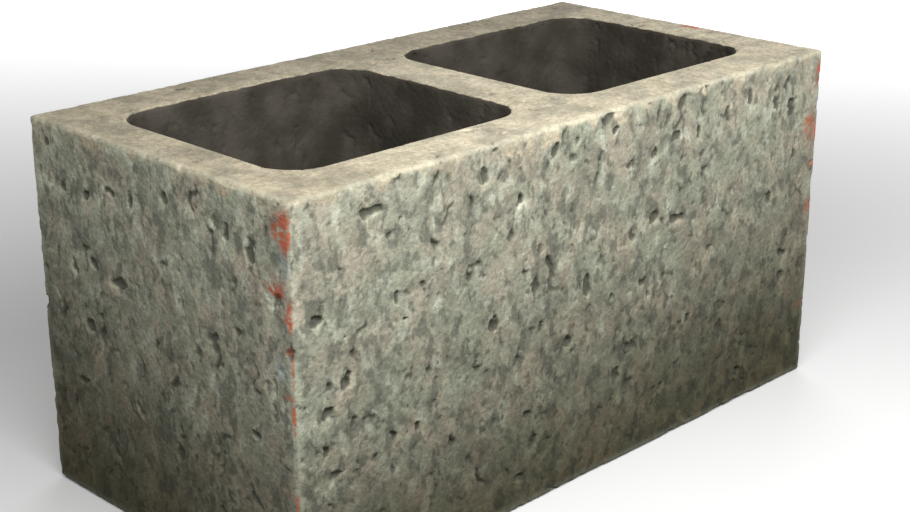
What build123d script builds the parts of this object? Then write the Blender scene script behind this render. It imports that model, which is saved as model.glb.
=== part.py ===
from build123d import *
import math
import os

# Hollow concrete block with two cores, moulded as one piece.
# Millimetres: X runs along the length, Y across the width and Z up.
# The origin is the centre of the bottom bed, under the centre web.

# Overall size of the block
LENGTH = 400.0
WIDTH = 200.0
HEIGHT = 200.0

# Walls at the top bed, where they are thinnest
FACE_SHELL = 32.0
END_WEB = 28.0
CENTRE_WEB = 35.0

# Cores: upright holes with rounded corners that narrow downwards
CORE_COUNT = 2
CORE_CORNER_RADIUS = 20.0
CORE_DRAFT = 3.0  # how far each core wall leans in between the top bed and the bottom bed
CORE_LIP_RADIUS = 3.0  # rounding of a core's mouth at either bed

# Rounding of the outer arrises
ARRIS_RADIUS = 2.0

# Pits of the upright faces: air bubbles that the mould's wall cut open
PIT_SIZE = 10.0
PIT_DEPTH_SHARE = 0.4  # depth of a pit, as a share of its narrower way across
PIT_MARGIN = 10.0  # least distance of a pit's middle from an arris

# Length by which a core former stands past each bed
CUT_OVERRUN = 10.0

# Each pit: its distance from the face's right-hand arris as a share of the length, its distance below
# the top as a share of the height, and its width and height as shares of the pit size
PIT_SHARES = (
    (0.070, 0.140, 0.70, 1.10),
    (0.110, 0.120, 0.50, 0.80),
    (0.173, 0.070, 0.40, 0.90),
    (0.225, 0.095, 0.50, 0.70),
    (0.290, 0.130, 0.50, 0.80),
    (0.335, 0.125, 0.90, 0.50),
    (0.383, 0.150, 0.65, 0.65),
    (0.433, 0.160, 0.45, 0.45),
    (0.463, 0.060, 0.65, 0.65),
    (0.575, 0.060, 0.70, 0.70),
    (0.703, 0.070, 0.40, 1.00),
    (0.880, 0.075, 1.40, 0.50),
    (0.325, 0.355, 1.50, 0.50),
    (0.378, 0.330, 0.80, 0.80),
    (0.420, 0.355, 0.40, 0.80),
    (0.830, 0.360, 0.45, 0.45),
    (0.845, 0.300, 0.40, 0.80),
    (0.965, 0.290, 0.80, 0.60),
    (0.253, 0.475, 0.40, 0.40),
    (0.395, 0.500, 0.70, 0.70),
    (0.508, 0.450, 0.50, 1.10),
    (0.685, 0.460, 0.75, 0.75),
    (0.925, 0.460, 0.75, 0.75),
    (0.950, 0.520, 0.90, 0.60),
    (0.070, 0.585, 0.90, 0.50),
    (0.293, 0.665, 0.55, 0.55),
    (0.418, 0.675, 0.90, 0.50),
    (0.545, 0.585, 0.70, 0.70),
    (0.815, 0.640, 0.55, 0.55),
    (0.853, 0.640, 0.55, 0.55),
    (0.955, 0.610, 0.60, 0.60),
    (0.940, 0.670, 0.90, 0.40),
    (0.218, 0.735, 0.50, 0.80),
    (0.445, 0.735, 0.50, 0.90),
    (0.618, 0.735, 0.65, 0.65),
    (0.350, 0.835, 0.60, 0.60),
    (0.168, 0.900, 0.65, 0.65),
    (0.638, 0.910, 0.90, 0.50),
)

# Sizes that follow from those above
CORE_LENGTH = (LENGTH - 2 * END_WEB - (CORE_COUNT - 1) * CENTRE_WEB) / CORE_COUNT
CORE_WIDTH = WIDTH - 2 * FACE_SHELL
CORE_PITCH = CORE_LENGTH + CENTRE_WEB
DRAFT_PER_HEIGHT = CORE_DRAFT / HEIGHT

# Front face and left end, each with its origin at the top of its right-hand arris, X to the left and Y down
FRONT = Plane((LENGTH / 2, -WIDTH / 2, HEIGHT), x_dir=(-1, 0, 0), z_dir=(0, -1, 0))
LEFT_END = Plane((-LENGTH / 2, -WIDTH / 2, HEIGHT), x_dir=(0, 1, 0), z_dir=(-1, 0, 0))


def core_former():
    """Drafted plug that leaves one core, centred on the Z axis, with both ends past the beds."""
    spread = CUT_OVERRUN * DRAFT_PER_HEIGHT
    mouth = RectangleRounded(
        CORE_LENGTH + 2 * spread,
        CORE_WIDTH + 2 * spread,
        CORE_CORNER_RADIUS + spread,
    )
    reach = HEIGHT + 2 * CUT_OVERRUN
    draft_angle = math.degrees(math.atan(DRAFT_PER_HEIGHT))
    top = Plane((0, 0, HEIGHT + CUT_OVERRUN), z_dir=(0, 0, -1))
    return extrude(top * mouth, amount=reach, taper=draft_angle)


def core_mouths(block):
    """Edges where the cores open into the top bed and the bottom bed."""
    beds = block.faces().filter_by(Plane.XY)
    return [edge for bed in beds for wire in bed.inner_wires() for edge in wire.edges()]


def pit_former(width, height):
    """Ball, drawn out along the longer way of a long pit, that leaves one pit in a face lying in the XY plane."""
    opening = min(width, height)
    drawn = max(width, height) - opening
    depth = PIT_DEPTH_SHARE * opening
    radius = (opening**2 / 4 + depth**2) / (2 * depth)
    former = Sphere(radius)
    if drawn > 0:
        half = Pos(0, radius) * Rectangle(drawn + 4 * radius, 2 * radius)
        former = revolve(SlotCenterToCenter(drawn, 2 * radius) & half, Axis.X)
    turn = 0 if width > height else 90
    return Pos(0, 0, radius - depth) * Rot(0, 0, turn) * former


def face_pits(face, face_length):
    """Formers of the pits in one upright face, laid out from its right-hand arris."""
    formers = []
    for along_share, down_share, width_share, height_share in PIT_SHARES:
        along = along_share * LENGTH
        if along < face_length - PIT_MARGIN:
            place = face * Pos(along, down_share * HEIGHT)
            formers.append(place * pit_former(width_share * PIT_SIZE, height_share * PIT_SIZE))
    return formers


def concrete_block():
    """The whole moulding: rounded outer arrises, drafted cores, rounded core mouths and pitted faces."""
    body = Box(LENGTH, WIDTH, HEIGHT, align=(Align.CENTER, Align.CENTER, Align.MIN))
    body = fillet(body.edges(), ARRIS_RADIUS)
    for spot in GridLocations(CORE_PITCH, 0, CORE_COUNT, 1):
        body -= spot * core_former()
    body = fillet(core_mouths(body), CORE_LIP_RADIUS)
    pits = face_pits(FRONT, LENGTH) + face_pits(LEFT_END, WIDTH)
    opposite_pits = [Rot(0, 0, 180) * pit for pit in pits]
    return body - (pits + opposite_pits)


os.makedirs("parts", exist_ok=True)
export_step(concrete_block(), "parts/concrete_block.step")
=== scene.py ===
import math
from typing import NamedTuple

import bpy
import numpy as np
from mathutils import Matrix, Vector
from mathutils.bvhtree import BVHTree


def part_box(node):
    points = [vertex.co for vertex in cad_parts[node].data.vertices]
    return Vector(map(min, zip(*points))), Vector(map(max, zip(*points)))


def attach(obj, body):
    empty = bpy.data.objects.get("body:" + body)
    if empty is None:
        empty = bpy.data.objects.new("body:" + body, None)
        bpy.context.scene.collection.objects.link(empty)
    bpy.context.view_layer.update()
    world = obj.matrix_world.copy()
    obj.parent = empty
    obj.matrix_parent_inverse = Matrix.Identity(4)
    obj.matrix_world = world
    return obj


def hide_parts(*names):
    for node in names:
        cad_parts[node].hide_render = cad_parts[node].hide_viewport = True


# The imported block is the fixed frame: metres, X along the length, Z up, origin under its middle
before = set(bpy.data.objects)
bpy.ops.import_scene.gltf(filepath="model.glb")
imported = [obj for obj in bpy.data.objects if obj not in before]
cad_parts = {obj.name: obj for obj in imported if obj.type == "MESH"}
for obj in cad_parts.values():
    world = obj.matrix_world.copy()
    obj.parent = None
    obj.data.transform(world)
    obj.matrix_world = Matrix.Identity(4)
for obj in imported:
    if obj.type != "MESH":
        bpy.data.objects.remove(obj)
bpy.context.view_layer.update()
NODE = "concrete_block"
LOW, HIGH = (np.array(corner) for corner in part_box(NODE))
MIDDLE = (LOW + HIGH) / 2
HALF_SIZE = (HIGH - LOW) / 2
MM = 0.001

# Camera: solved from the block's corners in the picture, which is 910 pixels wide
IMAGE_WIDTH = 910
FOCAL_PIXELS = 1701.0
SENSOR_WIDTH = 36.0
EYE = (-0.6304, -0.6268, 0.4222)
LOOK_AZIMUTH = math.radians(45.17)  # from +Y towards +X
LOOK_DOWN = math.radians(19.95)

# Faces of the block, in the order that plane_distances and SHEET keep
LEFT, FRONT, BOTTOM, RIGHT, BACK, TOP, LEFT_CORE, RIGHT_CORE = range(8)
UPRIGHT_PLANES = {LEFT: (0, 1), FRONT: (1, 1), RIGHT: (0, -1), BACK: (1, -1)}  # axis and way inwards
WALL_MIN = 20 * MM  # surface this far inside the upright planes belongs to a core or a bed
CORE_MOUTH = (1 * MM, 2 * MM)  # from a bed: where it ends, and where there is only core
BED_SKIN = 1 * MM  # whatever lies this close to a bed belongs to it

# Mesh of the block
VOXEL = 1.0 * MM
TRIANGLES = 190_000
RAY_START = 10 * MM  # how far outside the block the rays start that find the solid's surface

# Random numbers: factors and shifts that scramble a lattice cell, and the first seed of each pattern
AXIS_FACTORS = (73856093, 19349663, 83492791)
SEED_FACTOR = 2654435761
SCRAMBLE_STEPS = ((13, 1274126177), (16, 668265263))
LAST_SHIFT = 15
RANDOM_TOP = 0xFFFFF
SEED = 41
WARP_SEEDS = (SEED, SEED + 3)
OPEN_SEED = SEED + 8
GAP_SEEDS = (SEED + 10, SEED + 14)
VOID_SEED = SEED + 18
ARRIS_SEEDS = (SEED + 25, SEED + 26)
WAVE_SEED = SEED + 30

# Noise that shifts places about, so that the outlines of pits and marks are ragged
WARP_FEATURES = (6 * MM, 2.2 * MM)
WARP_REACHES = (2.4 * MM, 1.0 * MM)
WARP_MARGINS = (3 * MM, 9 * MM)  # from an arris: no shift within the first, full shift beyond the second

# Relief of the moulded surface, always cut into the solid
UPRIGHT_STRETCH = 1.45  # the mould drags voids taller than they are wide
OPEN_FEATURE = 30 * MM  # size of the areas that are more open or more closed
OPEN_SWING = 0.2  # in grain sizes: how much wider gaps are in the most open areas than in the most closed
GAP_SIZES = (7.5 * MM, 4.2 * MM)
GAP_DEPTHS = (2.2 * MM, 1.3 * MM)
GAP_RANGE = (0.8, 1.0)  # in grain sizes from the nearest grain's middle
DIRT_RANGE = (0.58, 0.85)
VOID_SPACING = 20 * MM
VOID_RADII = (1.0 * MM, 3.2 * MM)
VOID_DEPTH_SHARE = 0.8
TINY_AREA = MM**4  # least opening of a void, which keeps the division by it safe
BED_RELIEF_SHARE = 0.6
CORE_RELIEF_SHARE = 0.45
CORE_QUIET = (2 * MM, 20 * MM)  # from a bed: where the relief of a core's wall starts to lessen, and is least
PIT_FULL = 2.2 * MM  # a pit this deep is as dark as any
PIT_DIRTY = 1 * MM  # a pit of the solid this deep is dirty all over

# Long waves of the faces, and crumbled arrises
WAVE_FEATURE = 60 * MM
WAVE_DEPTH = 0.25 * MM
ARRIS_REACH = 3.5 * MM
ARRIS_DEPTH = 1.0 * MM
ARRIS_FEATURES = (12 * MM, 3.5 * MM)
CRUMBLE_RANGE = (0.4, 0.8)  # noise at which an arris is whole, and fully crumbled
ARRIS_CUT = 1.2 * MM  # deepest cut at the very arris, where a deeper one would fold the mesh over
ARRIS_CUT_SLOPE = 0.5  # how much deeper it may be further in, as a share of the distance from the arris

# Red marks beside the right-hand arrises of the front and the left end, in millimetres:
# from the arris, below the top, half width and half height, and then the strength
RED_MARKS = (
    (2, 12, 4, 8, 1.0), (9, 43, 4.5, 5, 1.0), (5, 39, 4, 3, 0.8), (1.5, 52, 2.5, 9, 0.6),
    (3, 68, 3.5, 2.5, 0.4), (0.5, 76, 1.5, 14, 0.4), (3, 92, 4, 3, 0.45), (0.5, 101, 2, 11, 0.6),
    (8, 118, 3, 3.5, 0.5), (0.5, 143, 1.8, 7, 0.5), (5, 155, 2.5, 4, 0.3), (9, 172, 2, 3, 0.25),
)
# Pale streaks beside the same arrises
PALE_MARKS = ((8, 79, 3, 8, 0.8), (2, 30, 3, 5, 0.4))
# Red marks on the edges of the top bed, in millimetres:
# from the left, from the front, half length and half width, and then the strength
TOP_RED_MARKS = (
    (398, 93, 7, 8, 1.0), (400, 70, 4, 22, 0.35), (400, 30, 3, 18, 0.3), (210, 200, 12, 3, 0.5),
    (368, 200, 32, 4, 0.45), (60, 200, 40, 2.5, 0.3),
)
TOP_MARK_DEPTH = 3 * MM  # how far below the top those marks reach
MARK_FULL = 0.5  # share of a mark at which its colour is full
PALE_MARK_STRENGTH = 0.6

# Part of the texture's square for each face: left, bottom, width and height, in thirds of the square
SHEET = (
    (2, 2, 1, 1),  # left end
    (0, 2, 2, 1),  # front
    (2, 0, 1, 0.5),  # bottom bed
    (2, 1, 1, 1),  # right end
    (0, 1, 2, 1),  # back
    (0, 0, 2, 1),  # top bed
    (2, 0.5, 1, 0.25),  # left core
    (2, 0.75, 1, 0.25),  # right core
)
SHEET_PARTS = 3
SHEET_AXES = ((1, 2), (0, 2), (0, 1), (1, 2), (0, 2), (0, 1))  # of each outer face, across and up its part
SHEET_GUTTER = 0.006

# Colours
GREY_GREEN = (0.40, 0.415, 0.31, 1)
PINK_BEIGE = (0.47, 0.425, 0.325, 1)
PALE_STONE = (0.61, 0.635, 0.50, 1)
DARK_STONE = (0.15, 0.155, 0.12, 1)
SAND = (0.66, 0.58, 0.42, 1)
SAND_DARK = (0.45, 0.40, 0.29, 1)
# Dark of the pits: partly dirt, partly painted shade in their hollows
PIT_DIRT_AND_SHADE = (0.06, 0.06, 0.045, 1)
# Dark of the cores' walls: partly dirt, partly painted shade
CORE_DIRT_AND_SHADE = (0.04, 0.035, 0.026, 1)
CORE_DIRT_AND_SHADE_PALE = (0.075, 0.067, 0.053, 1)
# Darkening towards the base: partly grime, partly painted shade
BASE_GRIME_AND_SHADE = (0.19, 0.175, 0.125, 1)
# Painted shade of the top bed, darkest along its left and back edges
BED_PAINTED_SHADE = (0.66, 0.65, 0.63, 1)
RED = (0.44, 0.13, 0.07, 1)
PALE_BLUE = (0.40, 0.47, 0.46, 1)
WHITE = (1, 1, 1, 1)


class Clouds(NamedTuple):
    """Cloudy patches of one colour: none where the noise is at start, and their full share from full on."""

    colour: tuple
    size: float
    start: float
    full: float
    share: float = 1.0
    detail: float = 2.0
    roughness: float = 0.5


# Patches that mottle the sides and the top bed, paler patches in the dark of the cores, which is partly dirt
# and partly painted shade, and those of red that haven't worn off
BEIGE_PATCHES = Clouds(PINK_BEIGE, size=26 * MM, start=0.38, full=0.62, detail=3.0)
SPECKS = (
    Clouds(PALE_STONE, size=9 * MM, start=0.52, full=0.66, share=0.7, detail=2.5),
    Clouds(DARK_STONE, size=7 * MM, start=0.5, full=0.34, share=0.8, roughness=0.55),
    Clouds(DARK_STONE, size=13 * MM, start=0.46, full=0.3, share=0.4, detail=1.5),
    Clouds(DARK_STONE, size=5 * MM, start=0.37, full=0.29, share=0.75, detail=1.0),
)
SAND_PATCHES = Clouds(SAND, size=16 * MM, start=0.35, full=0.6, detail=3.0)
CORE_DIRT_AND_SHADE_PATCHES = Clouds(CORE_DIRT_AND_SHADE_PALE, size=22 * MM, start=0.35, full=0.7, detail=4.0)
RED_PATCHES = Clouds(RED, size=3.5 * MM, start=0.3, full=0.55, detail=3.0)

# Dirt around the pores, dark pits, partly dirt and partly painted shade in their hollows, and worn arrises
FACE_DIRT = 0.6
BED_DIRT = 0.25
PIT_RANGE = (0.1, 0.7)  # shares of a pit's depth at which its dark starts, and is full
PIT_STRENGTH = 0.75
WORN_REACH = 6 * MM
WORN_STRENGTH = 0.2

# Edges of the dark of the cores, which is partly dirt and partly painted shade, on their rounded lips, and of
# the sand that runs down from the top bed
EDGE_DETAIL = 4.0
CORE_EDGE = (0.15 * MM, 1.5 * MM)  # from a bed: where the dark starts, and is full
CORE_EDGE_FEATURE = 9 * MM
CORE_EDGE_NOISE = (0.3, 0.7)
CORE_EDGE_SHIFTS = (-0.25, 0.25)  # of the share of the dark
CORE_EDGE_RANGE = (0.3, 0.7)  # shifted shares at which the dark starts, and is full
BLEED_FEATURE = 14 * MM
BLEED_NOISE = (0.4, 0.8)
BLEED_DEPTHS = (1 * MM, 13 * MM)
BLEED_SOFTNESS = 2 * MM

# Darker towards the base, partly grime and partly painted shade, and painted shade along the left and back
# edges of the top bed
GRIME_AND_SHADE_RANGE = (0.215, 0.03)  # heights at which the darkening starts, and is full
GRIME_AND_SHADE_DROP = 0.04  # how much lower it stays beside the near arris and the one opposite
GRIME_AND_SHADE_FEATURE = 45 * MM
GRIME_AND_SHADE_WANDER = 0.05  # how far its height wanders from place to place
UNSHADED_ALONG = (LOW[0], LOW[0] / 3)  # along the block: where the painted shade on the top bed is darkest, and where there is none
UNSHADED_ACROSS = (HIGH[1], HIGH[1] / 5)  # the same across the block

# Grains of sand: sizes, the shades that they give to the colour, and their bumps
GRAIN_SIZE = 1.7 * MM
GRAIN_SHADES = (0.84, 1.12)
SAND_SIZE = 0.9 * MM
SAND_DETAIL = 3.0
SAND_ROUGHNESS = 0.6
SAND_NOISE = (0.25, 0.75)
SAND_SHADES = (0.85, 1.12)
SAND_BUMP = 0.2 * MM
SAND_BUMP_STRENGTH = 0.6
GRAIN_BUMPS = ((1.3 * MM, 0.12 * MM), (3.2 * MM, 0.24 * MM))  # size and height
GRAIN_BUMP_RANGE = (0.15, 0.8)  # in grain sizes from a grain's middle: its top and its foot
GRAIN_BUMP_STRENGTH = 0.7
GLOSS_NOISE = (0.2, 0.8)
SURFACE_ROUGHNESS = (0.82, 0.97)
SURFACE_SPECULAR = 0.25

# Floor and world: what the camera sees is pale, and what lights the block is dimmer
FLOOR_HALF = 12.0
FLOOR_SEEN = (0.86, 0.86, 0.86, 1)
FLOOR_FELT = (0.2, 0.2, 0.2, 1)
FLOOR_FADE = (0.3, 1.2)  # from the origin: where the fade to white starts, and is full
FLOOR_GLOW = 0.55
FLOOR_ROUGHNESS = 0.9
FLOOR_SPECULAR = 0.1
WORLD_SEEN = 1.0
WORLD_FELT = 0.16


def smoothstep(low, high, value):
    """0 at low, 1 at high and a smooth rise between them."""
    share = np.clip((value - low) / (high - low), 0, 1)
    return share * share * (3 - 2 * share)


def lattice_random(cells, seed):
    """Repeatable random number from 0 to 1 for each whole-numbered lattice cell."""
    mixed = np.full(len(cells), seed * SEED_FACTOR)
    for axis, factor in enumerate(AXIS_FACTORS):
        mixed ^= cells[:, axis] * factor
    for shift, factor in SCRAMBLE_STEPS:
        mixed = (mixed ^ (mixed >> shift)) * factor
    return ((mixed ^ (mixed >> LAST_SHIFT)) & RANDOM_TOP) / RANDOM_TOP


def smooth_noise(points, feature, seed):
    """Smooth random field from 0 to 1 whose features have about the given size."""
    grid = points / feature
    cells = np.floor(grid).astype(np.int64)
    rise = smoothstep(0, 1, grid - cells)
    total = np.zeros(len(points))
    for corner in np.ndindex(2, 2, 2):
        weight = np.prod(np.where(corner, rise, 1 - rise), axis=1)
        total += weight * lattice_random(cells + corner, seed)
    return total


def neighbour_cells(points, spacing):
    """Yields, for each point, the lattice cells around it, one neighbour at a time."""
    home = np.floor(points / spacing).astype(np.int64)
    for offset in np.ndindex(3, 3, 3):
        yield home + np.array(offset) - 1


def cell_centres(cells, spacing, seed):
    """One random place inside each lattice cell."""
    spots = [lattice_random(cells, seed + axis) for axis in range(3)]
    return (cells + np.stack(spots, axis=1)) * spacing


def row_dots(first, second):
    """Dot product of each row of one array with the same row of another."""
    return np.einsum("ij,ij->i", first, second)


def grain_gap(points, size, seed):
    """Distance to the middle of the nearest grain, in grain sizes: largest in the gaps between grains."""
    nearest = np.full(len(points), np.inf)
    for cells in neighbour_cells(points, size):
        offset = cell_centres(cells, size, seed) - points
        nearest = np.minimum(nearest, row_dots(offset, offset))
    return np.sqrt(nearest) / size


def dent(offset, normals, radius):
    """Depth of the bowl that a ball-shaped void leaves where the surface cuts it open."""
    sunk = -row_dots(offset, normals)
    across = row_dots(offset, offset) - sunk**2
    opening = np.maximum(radius**2 - sunk**2, TINY_AREA)
    rim = np.clip(1 - across / opening, 0, 1)
    return np.where(np.abs(sunk) < radius, np.sqrt(rim) * (radius + sunk), 0)


def voids(points, normals, spacing, radii, seed):
    """Depth of the air voids that the surface cuts open, one void in each lattice cell."""
    depth = np.zeros(len(points))
    for cells in neighbour_cells(points, spacing):
        offset = cell_centres(cells, spacing, seed) - points
        radius = radii[0] + (radii[1] - radii[0]) * lattice_random(cells, seed + 3) ** 2
        depth = np.maximum(depth, dent(offset, normals, radius))
    return depth


def plane_distances(points):
    """Distance inwards from the outer planes: left, front, bottom, right, back, top."""
    return np.hstack([points - LOW, HIGH - points])


def arris_distance(points):
    """Distance inwards from the second nearest outer plane: small only beside an arris."""
    return np.sort(plane_distances(points), axis=1)[:, 1]


def bed_distance(points):
    """Distance from the nearer of the bottom bed and the top bed."""
    return plane_distances(points)[:, (BOTTOM, TOP)].min(axis=1)


def core_share(points, mouth):
    """1 on the walls of the cores and 0 on the outside and the beds, with a smooth rise across the mouth."""
    inside = plane_distances(points)[:, tuple(UPRIGHT_PLANES)].min(axis=1) > WALL_MIN
    return inside * smoothstep(*mouth, bed_distance(points))


def shifted(points):
    """The points shifted about by smooth noise."""
    places = points.copy()
    for feature, reach, seed in zip(WARP_FEATURES, WARP_REACHES, WARP_SEEDS):
        for axis in range(3):
            places[:, axis] += reach * (2 * smooth_noise(points, feature, seed + axis) - 1)
    return places


def plane_place(axis, inwards):
    """Where an outer plane lies along its axis."""
    return LOW[axis] if inwards > 0 else HIGH[axis]


def solid_depths(solid, places, axis, inwards):
    """Depth of the CAD solid's surface below one outer plane, at each of some places on that plane."""
    start = places.copy()
    start[:, axis] = plane_place(axis, inwards) - inwards * RAY_START
    way = Vector([inwards * (other == axis) for other in range(3)])
    reach = [solid.ray_cast(place, way)[3] for place in start.tolist()]
    return np.array(reach) - RAY_START


def ragged_pits(points, normals, places, solid):
    """Makes the outlines of the solid's own pits ragged. Gives the new points, how deep they lie below
    the upright faces and the way out of the surface, which is square to those faces except at arrises."""
    room = smoothstep(*WARP_MARGINS, arris_distance(points))
    places = points + room[:, None] * (places - points)
    nearest = plane_distances(points).argmin(axis=1)
    on_outside = core_share(points, CORE_MOUTH) == 0
    moved = points.copy()
    sunk = np.zeros(len(points))
    outwards = normals.copy()
    for plane, (axis, inwards) in UPRIGHT_PLANES.items():
        here = on_outside & (nearest == plane)
        sunk[here] = solid_depths(solid, places[here], axis, inwards)
        moved[here, axis] = plane_place(axis, inwards) + inwards * sunk[here]
        outwards[here] *= 1 - room[here, None]
        outwards[here, axis] -= inwards * room[here]
    return moved, sunk, outwards


def relief(points, normals, places):
    """Depth of the real surface below the smooth solid, and how dark the dirt around its pores is."""
    upright = places * (1, 1, 1 / UPRIGHT_STRETCH)
    openness = smooth_noise(points, OPEN_FEATURE, OPEN_SEED) - 0.5
    depth = VOID_DEPTH_SHARE * voids(upright, normals, VOID_SPACING, VOID_RADII, VOID_SEED)
    dirt = np.zeros(len(points))
    for size, deep, seed in zip(GAP_SIZES, GAP_DEPTHS, GAP_SEEDS):
        gap = grain_gap(upright, size, seed) + OPEN_SWING * openness
        depth = np.maximum(depth, deep * smoothstep(*GAP_RANGE, gap))
        dirt = np.maximum(dirt, smoothstep(*DIRT_RANGE, gap))
    depth *= 1 - (1 - BED_RELIEF_SHARE) * (bed_distance(points) < BED_SKIN)
    depth *= 1 - (1 - CORE_RELIEF_SHARE) * core_share(points, CORE_QUIET)
    return depth, dirt


def unevenness(points, places):
    """Depth of the long waves of the faces and of the crumbled arrises."""
    arris = smoothstep(ARRIS_REACH, 0, arris_distance(points))
    ragged = [smooth_noise(places, feature, seed) for feature, seed in zip(ARRIS_FEATURES, ARRIS_SEEDS)]
    crumble = ARRIS_DEPTH * arris * smoothstep(*CRUMBLE_RANGE, np.mean(ragged, axis=0))
    return crumble + WAVE_DEPTH * smooth_noise(points, WAVE_FEATURE, WAVE_SEED)


def mark_share(across, along, mark):
    """How far into one oval mark each place lies: 0 at its edge and its strength at its middle."""
    middle_across, middle_along, half_across, half_along, strength = mark
    reach = ((across / MM - middle_across) / half_across) ** 2
    reach += ((along / MM - middle_along) / half_along) ** 2
    return strength * np.clip(1 - reach, 0, 1)


def side_marks(points, places, marks):
    """How far into the nearest of some marks on the front or the left end each point lies, from 0 to 1."""
    nearest = plane_distances(points).argmin(axis=1)
    from_arris = {FRONT: HIGH[0] - points[:, 0], LEFT: points[:, 1] - LOW[1]}
    below = HIGH[2] - places[:, 2]
    share = np.zeros(len(points))
    for mark in marks:
        for plane, across in from_arris.items():
            share = np.maximum(share, (nearest == plane) * mark_share(across, below, mark))
    return share


def top_marks(points, marks):
    """How far into the nearest of some marks on the top bed each point lies, from 0 to 1."""
    on_bed = HIGH[2] - points[:, 2] < TOP_MARK_DEPTH
    from_left = points[:, 0] - LOW[0]
    from_front = points[:, 1] - LOW[1]
    share = np.zeros(len(points))
    for mark in marks:
        share = np.maximum(share, on_bed * mark_share(from_left, from_front, mark))
    return share


def read_vectors(items, key):
    """Reads a three-number property of all items into an array."""
    values = np.empty(len(items) * 3, np.float32)
    items.foreach_get(key, values)
    return values.reshape(-1, 3).astype(float)


def move_vertices(mesh, points):
    """Gives a mesh's vertices new places, none of them outside the solid's box."""
    mesh.vertices.foreach_set("co", np.clip(points, LOW, HIGH).astype(np.float32).ravel())
    mesh.update()


def store_shares(mesh, shares):
    """Stores named shares with a mesh's vertices, for its material to read."""
    for name, values in shares.items():
        attribute = mesh.attributes.new(name, "FLOAT", "POINT")
        attribute.data.foreach_set("value", values.astype(np.float32))


def applied(piece, kind, **settings):
    """Replaces a piece's mesh by what one modifier makes of it."""
    modifier = piece.modifiers.new(kind, kind)
    for key, value in settings.items():
        setattr(modifier, key, value)
    graph = bpy.context.evaluated_depsgraph_get()
    mesh = bpy.data.meshes.new_from_object(piece.evaluated_get(graph))
    piece.modifiers.clear()
    piece.data = mesh
    return mesh


def turns_about(points, centre):
    """Direction of each point from an upright axis, in turns from -0.5 to 0.5."""
    return np.arctan2(*(points - centre).T[:2]) / math.tau


def unwrap(mesh):
    """Lays each outer face and each core flat in its own part of the texture's square."""
    corners = np.empty(len(mesh.loops), np.int32)
    mesh.loops.foreach_get("vertex_index", corners)
    points = read_vectors(mesh.vertices, "co")[corners]
    middles = points.reshape(-1, 3, 3).mean(axis=1)  # of the triangles
    faces = plane_distances(middles).argmin(axis=1)
    in_core = core_share(middles, CORE_MOUTH) > 0.5
    faces[in_core] = np.where(middles[in_core, 0] < 0, LEFT_CORE, RIGHT_CORE)
    faces = np.repeat(faces, 3)
    middles = np.repeat(middles, 3, axis=0)
    shares = (points - LOW) / (HIGH - LOW)
    flat = np.empty((len(corners), 2))
    for face, axes in enumerate(SHEET_AXES):
        flat[faces == face] = shares[faces == face][:, axes]
    for face, side in ((LEFT_CORE, -1), (RIGHT_CORE, 1)):
        here = faces == face
        centre = (side * HALF_SIZE[0] / 2, 0, 0)
        turns = turns_about(points[here], centre)
        # The corners of a triangle that lies across the seam are kept on one side of it
        turns -= np.round(turns - turns_about(middles[here], centre))
        flat[here] = np.stack([turns + 0.5, shares[here][:, 2]], axis=1)
    sheet = np.array(SHEET)[faces] / SHEET_PARTS
    flat = sheet[:, :2] + SHEET_GUTTER + flat * (sheet[:, 2:] - 2 * SHEET_GUTTER)
    mesh.uv_layers.new(name="OFBake").uv.foreach_set("vector", flat.astype(np.float32).ravel())


def cut_relief(mesh, solid):
    """Cuts the relief of the real surface into a mesh of the solid, and stores what its material needs."""
    points = read_vectors(mesh.vertices, "co")
    normals = read_vectors(mesh.vertices, "normal")
    places = shifted(points)
    moved, sunk, outwards = ragged_pits(points, normals, places, solid)
    depth, dirt = relief(points, outwards, places)
    red = np.maximum(side_marks(points, places, RED_MARKS), top_marks(points, TOP_RED_MARKS))
    shares = {
        "pit": np.clip(np.maximum(depth, sunk) / PIT_FULL, 0, 1),
        "dirt": np.maximum(dirt, smoothstep(0, PIT_DIRTY, sunk)),
        "red": red,
        "pale": side_marks(points, places, PALE_MARKS),
        "core": core_share(points, CORE_EDGE),
    }
    store_shares(mesh, shares)
    cut = np.maximum(depth - sunk, 0) + unevenness(points, places)
    cut = np.minimum(cut, ARRIS_CUT + ARRIS_CUT_SLOPE * arris_distance(points))
    move_vertices(mesh, moved - outwards * cut[:, None])


def rough_block():
    """The block as a mesh of the CAD solid, with the relief of the real surface cut into it."""
    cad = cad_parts[NODE]
    solid = BVHTree.FromObject(cad, bpy.context.evaluated_depsgraph_get())
    piece = bpy.data.objects.new("block_concrete", cad.data.copy())
    bpy.context.scene.collection.objects.link(piece)
    mesh = applied(piece, "REMESH", mode="VOXEL", voxel_size=VOXEL)
    cut_relief(mesh, solid)
    triangles = sum(len(polygon.vertices) - 2 for polygon in mesh.polygons)
    mesh = applied(piece, "DECIMATE", ratio=TRIANGLES / triangles, use_collapse_triangulate=True)
    move_vertices(mesh, read_vectors(mesh.vertices, "co"))
    mesh.shade_smooth()
    unwrap(mesh)
    return piece


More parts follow.
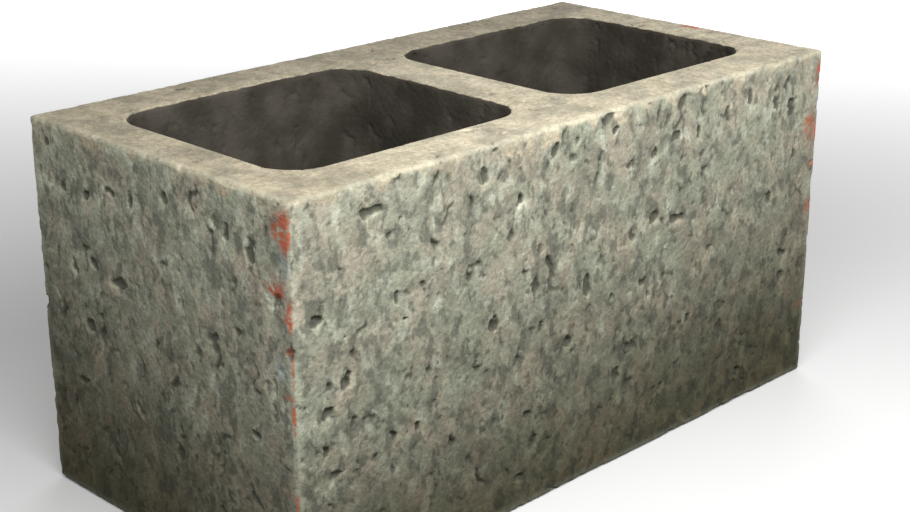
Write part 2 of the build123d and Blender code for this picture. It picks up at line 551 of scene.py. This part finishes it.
class Shader:
    """Adds nodes to one node tree, each linked as it is made."""

    def __init__(self, tree):
        self.tree = tree

    def feed(self, socket, value):
        """Links a socket to another node's output, or sets its value."""
        if isinstance(value, bpy.types.NodeSocket):
            self.tree.links.new(value, socket)
        else:
            socket.default_value = value

    def add(self, kind, inputs, output=0, **settings):
        """Adds a node and returns one of its outputs."""
        node = self.tree.nodes.new("ShaderNode" + kind)
        for key, value in settings.items():
            setattr(node, key, value)
        for key, value in inputs.items():
            self.feed(node.inputs[key], value)
        return node.outputs[output]

    def place(self):
        """Place on the object, in metres."""
        return self.add("TexCoord", {}, "Object")

    def mask(self, name):
        """One of the shares stored with the mesh."""
        return self.add("Attribute", {}, "Fac", attribute_name=name)

    def noise(self, where, feature, detail, roughness=0.5):
        """Cloudy noise about 0.5, with features of the given size."""
        inputs = {"Vector": where, "Scale": 1 / feature, "Detail": detail, "Roughness": roughness}
        return self.add("TexNoise", inputs)

    def cells(self, where, size, output):
        """Cells of the given size: a random colour for each, or the distance from its middle."""
        return self.add("TexVoronoi", {"Vector": where, "Scale": 1 / size}, output)

    def rise(self, value, low, high, start=0.0, end=1.0):
        """Maps a value smoothly from low..high to start..end."""
        inputs = {"Value": value, "From Min": low, "From Max": high, "To Min": start, "To Max": end}
        return self.add("MapRange", inputs, interpolation_type="SMOOTHSTEP")

    def split(self, vector):
        """The three parts of a vector."""
        return [self.add("SeparateXYZ", {0: vector}, axis) for axis in "XYZ"]

    def math(self, operation, *values):
        """Sum, product or the like of values."""
        return self.add("Math", dict(enumerate(values)), operation=operation)

    def vector(self, operation, *values):
        """Sum, product or the like of vectors."""
        return self.add("VectorMath", dict(enumerate(values)), operation=operation)

    def measure(self, operation, *values):
        """Length, dot product or the like of vectors."""
        return self.add("VectorMath", dict(enumerate(values)), "Value", operation=operation)

    def mix(self, share, first, second, blend="MIX"):
        """Blends two colours."""
        inputs = {0: share, 6: first, 7: second}
        return self.add("Mix", inputs, 2, data_type="RGBA", blend_type=blend)

    def shade(self, colour, factor):
        """Multiplies a colour by another one or by a value."""
        return self.mix(1.0, colour, factor, "MULTIPLY")

    def cloud_share(self, where, clouds):
        """Share of cloudy patches at each place."""
        noise = self.noise(where, clouds.size, clouds.detail, clouds.roughness)
        return self.rise(noise, clouds.start, clouds.full, 0.0, clouds.share)

    def clouded(self, colour, where, clouds):
        """A colour with cloudy patches over it."""
        return self.mix(self.cloud_share(where, clouds), colour, clouds.colour)

    def seen_directly(self):
        """1 for rays from the camera, mirrors and glass, and 0 for rays that carry light between surfaces."""
        camera = self.add("LightPath", {}, "Is Camera Ray")
        mirror = self.add("LightPath", {}, "Is Glossy Ray")
        glass = self.add("LightPath", {}, "Is Transmission Ray")
        return self.math("MAXIMUM", self.math("MAXIMUM", camera, mirror), glass)


def new_material(name):
    """A material, what adds nodes to it, and the sockets of its surface."""
    material = bpy.data.materials.new(name)
    material.use_nodes = True
    return material, Shader(material.node_tree), material.node_tree.nodes["Principled BSDF"].inputs


def core_dirt_and_shade_mask(s, where):
    """Share of the dark of the cores, partly dirt and partly painted shade, at each place, with a ragged
    edge.
    """
    noise = s.noise(where, CORE_EDGE_FEATURE, EDGE_DETAIL)
    shift = s.rise(noise, *CORE_EDGE_NOISE, *CORE_EDGE_SHIFTS)
    return s.rise(s.math("ADD", s.mask("core"), shift), *CORE_EDGE_RANGE)


def place_masks(s, where):
    """Shares of top bed and outer arris at each place, worked out from the block's box."""
    away = s.vector("ABSOLUTE", s.vector("SUBTRACT", where, tuple(MIDDLE)))
    from_end, from_long_side, from_bed = s.split(s.vector("SUBTRACT", tuple(HALF_SIZE), away))
    from_side = s.math("MINIMUM", from_end, from_long_side)
    from_other_side = s.math("MAXIMUM", from_end, from_long_side)
    from_arris = s.math("MAXIMUM", from_side, s.math("MINIMUM", from_other_side, from_bed))

    from_top = s.math("SUBTRACT", HIGH[2], s.split(where)[2])
    bleed = s.rise(s.noise(where, BLEED_FEATURE, EDGE_DETAIL), *BLEED_NOISE, *BLEED_DEPTHS)
    bed = s.rise(s.math("SUBTRACT", from_top, bleed), BLEED_SOFTNESS, -BLEED_SOFTNESS)
    return bed, s.rise(from_arris, WORN_REACH, 0.0)


def face_colour(s, where, dirt):
    """Mottled grey of the sides, with pale and dark specks taller than they are wide."""
    tall = s.vector("MULTIPLY", where, (1, 1, 1 / UPRIGHT_STRETCH))
    colour = s.clouded(GREY_GREEN, where, BEIGE_PATCHES)
    for specks in SPECKS:
        colour = s.clouded(colour, tall, specks)
    return s.mix(s.math("MULTIPLY", dirt, FACE_DIRT), colour, DARK_STONE)


def bed_colour(s, where, dirt):
    """Sand of the top bed, with painted shade that darkens it towards its left and back edges."""
    sandy = s.clouded(SAND_DARK, where, SAND_PATCHES)
    sandy = s.mix(s.math("MULTIPLY", dirt, BED_DIRT), sandy, DARK_STONE)
    along, across, _ = s.split(where)
    # Painted shade: the top bed darker towards its left and back edges
    unshaded = s.math("MULTIPLY", s.rise(along, *UNSHADED_ALONG), s.rise(across, *UNSHADED_ACROSS))
    return s.mix(unshaded, s.shade(sandy, BED_PAINTED_SHADE), sandy)


def grime_and_shade_share(s, where):
    """Share of the darkening towards the base, partly grime and partly painted shade, least beside the near
    arris and the one opposite.
    """
    # -1 at the near arris, 1 at the one opposite and 0 at the other two
    corner = s.measure("DOT_PRODUCT", where, (0.5 / HIGH[0], 0.5 / HIGH[1], 0))
    height = s.math("ADD", s.split(where)[2], s.math("MULTIPLY", s.math("ABSOLUTE", corner), GRIME_AND_SHADE_DROP))
    wander = s.math("MULTIPLY", s.noise(where, GRIME_AND_SHADE_FEATURE, EDGE_DETAIL), GRIME_AND_SHADE_WANDER)
    return s.rise(s.math("ADD", height, wander), *GRIME_AND_SHADE_RANGE)


def marked(s, colour, where):
    """A colour with the pale streaks and the worn red marks over it."""
    pale = s.math("MULTIPLY", s.rise(s.mask("pale"), 0.0, MARK_FULL), PALE_MARK_STRENGTH)
    red = s.math("MULTIPLY", s.rise(s.mask("red"), 0.0, MARK_FULL), s.cloud_share(where, RED_PATCHES))
    return s.mix(red, s.mix(pale, colour, PALE_BLUE), RED)


def grain_bumps(s, where, sand):
    """Surface direction with the bumps of fine sand and of grains of two sizes."""
    inputs = {"Height": sand, "Strength": SAND_BUMP_STRENGTH, "Distance": SAND_BUMP}
    normal = s.add("Bump", inputs)
    for size, height in GRAIN_BUMPS:
        grains = s.rise(s.cells(where, size, "Distance"), *GRAIN_BUMP_RANGE, 1.0, 0.0)
        inputs = {"Height": grains, "Strength": GRAIN_BUMP_STRENGTH, "Distance": height, "Normal": normal}
        normal = s.add("Bump", inputs)
    return normal


def concrete():
    """Weathered concrete: mottled sides, sandy top bed, cores and pits darkened partly by dirt and partly by
    painted shade, a darkening towards the base that is partly grime and partly painted shade, painted shade
    on the top bed, and marks.
    """
    material, s, surface = new_material("concrete")
    where = s.place()
    bed, arris = place_masks(s, where)
    dirt = s.mask("dirt")
    colour = s.mix(bed, face_colour(s, where, dirt), bed_colour(s, where, dirt))

    # Each grain takes its shade from the red part of its random colour
    grain = s.add("SeparateColor", {0: s.cells(where, GRAIN_SIZE, "Color")}, "Red")
    sand = s.noise(where, SAND_SIZE, SAND_DETAIL, SAND_ROUGHNESS)
    colour = s.shade(colour, s.rise(grain, 0.0, 1.0, *GRAIN_SHADES))
    colour = s.shade(colour, s.rise(sand, *SAND_NOISE, *SAND_SHADES))

    # Darker towards the base: partly grime, partly painted shade
    colour = s.mix(grime_and_shade_share(s, where), colour, s.shade(colour, BASE_GRIME_AND_SHADE))
    colour = s.mix(s.math("MULTIPLY", arris, WORN_STRENGTH), colour, PALE_STONE)
    # Dark pits: partly dirt, partly painted shade
    colour = s.mix(s.rise(s.mask("pit"), *PIT_RANGE, 0.0, PIT_STRENGTH), colour, PIT_DIRT_AND_SHADE)
    # Dark of the cores: partly dirt, partly painted shade
    colour = s.mix(core_dirt_and_shade_mask(s, where), colour, s.clouded(CORE_DIRT_AND_SHADE, where, CORE_DIRT_AND_SHADE_PATCHES))
    colour = marked(s, colour, where)

    s.feed(surface["Base Color"], colour)
    s.feed(surface["Roughness"], s.rise(sand, *GLOSS_NOISE, *SURFACE_ROUGHNESS))
    s.feed(surface["Normal"], grain_bumps(s, where, sand))
    surface["Specular IOR Level"].default_value = SURFACE_SPECULAR
    return material


def look_along(thing, direction):
    """Turns a camera or lamp to face a direction."""
    thing.rotation_euler = Vector(direction).to_track_quat("-Z", "Y").to_euler()


def add_camera():
    """Camera at the picture's place and angle."""
    data = bpy.data.cameras.new("camera")
    data.sensor_width = SENSOR_WIDTH
    data.lens = FOCAL_PIXELS / IMAGE_WIDTH * SENSOR_WIDTH
    camera = bpy.data.objects.new("camera", data)
    camera.location = EYE
    level = math.cos(LOOK_DOWN)
    along = math.sin(LOOK_AZIMUTH) * level
    across = math.cos(LOOK_AZIMUTH) * level
    look_along(camera, (along, across, -math.sin(LOOK_DOWN)))
    bpy.context.scene.collection.objects.link(camera)
    bpy.context.scene.camera = camera


def add_lamp(name, place, aim, size, power):
    """Flat soft lamp, size wide and high, which isn't itself seen."""
    data = bpy.data.lights.new(name, "AREA")
    data.shape = "RECTANGLE"
    data.size, data.size_y = size
    data.energy = power
    lamp = bpy.data.objects.new(name, data)
    lamp.location = place
    lamp.visible_camera = False
    look_along(lamp, Vector(aim) - Vector(place))
    bpy.context.scene.collection.objects.link(lamp)


def add_floor():
    """Plain pale floor that sends little light back up and fades to white away from the block."""
    mesh = bpy.data.meshes.new("floor")
    signs = ((-1, -1), (1, -1), (1, 1), (-1, 1))
    mesh.from_pydata([(x * FLOOR_HALF, y * FLOOR_HALF, 0) for x, y in signs], [], [(0, 1, 2, 3)])
    floor = bpy.data.objects.new("floor", mesh)
    bpy.context.scene.collection.objects.link(floor)
    material, s, surface = new_material("floor")
    seen = s.seen_directly()
    glow = s.rise(s.measure("LENGTH", s.place()), *FLOOR_FADE, 0.0, FLOOR_GLOW)
    s.feed(surface["Base Color"], s.mix(seen, FLOOR_FELT, FLOOR_SEEN))
    s.feed(surface["Emission Strength"], s.math("MULTIPLY", seen, glow))
    surface["Emission Color"].default_value = WHITE
    surface["Roughness"].default_value = FLOOR_ROUGHNESS
    surface["Specular IOR Level"].default_value = FLOOR_SPECULAR
    mesh.materials.append(material)


def add_world():
    """Soft even light from all round, seen as white."""
    world = bpy.data.worlds.new("studio")
    bpy.context.scene.world = world
    world.use_nodes = True
    s = Shader(world.node_tree)
    background = world.node_tree.nodes["Background"].inputs
    s.feed(background["Strength"], s.rise(s.seen_directly(), 0.0, 1.0, WORLD_FELT, WORLD_SEEN))
    background["Color"].default_value = WHITE


block = rough_block()
block.data.materials.clear()
block.data.materials.append(concrete())
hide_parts(NODE)
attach(block, "root")

add_camera()
add_floor()
add_world()
add_lamp("key", place=(-0.13, -0.445, 0.53), aim=(0.03, -0.115, 0.18), size=(1.2, 0.2), power=7.1)
add_lamp("fill", place=(1.3, 1.1, 0.4), aim=(0, 0, 0.1), size=(1.2, 1.2), power=16.0)
bpy.context.scene.view_settings.view_transform = "Standard"
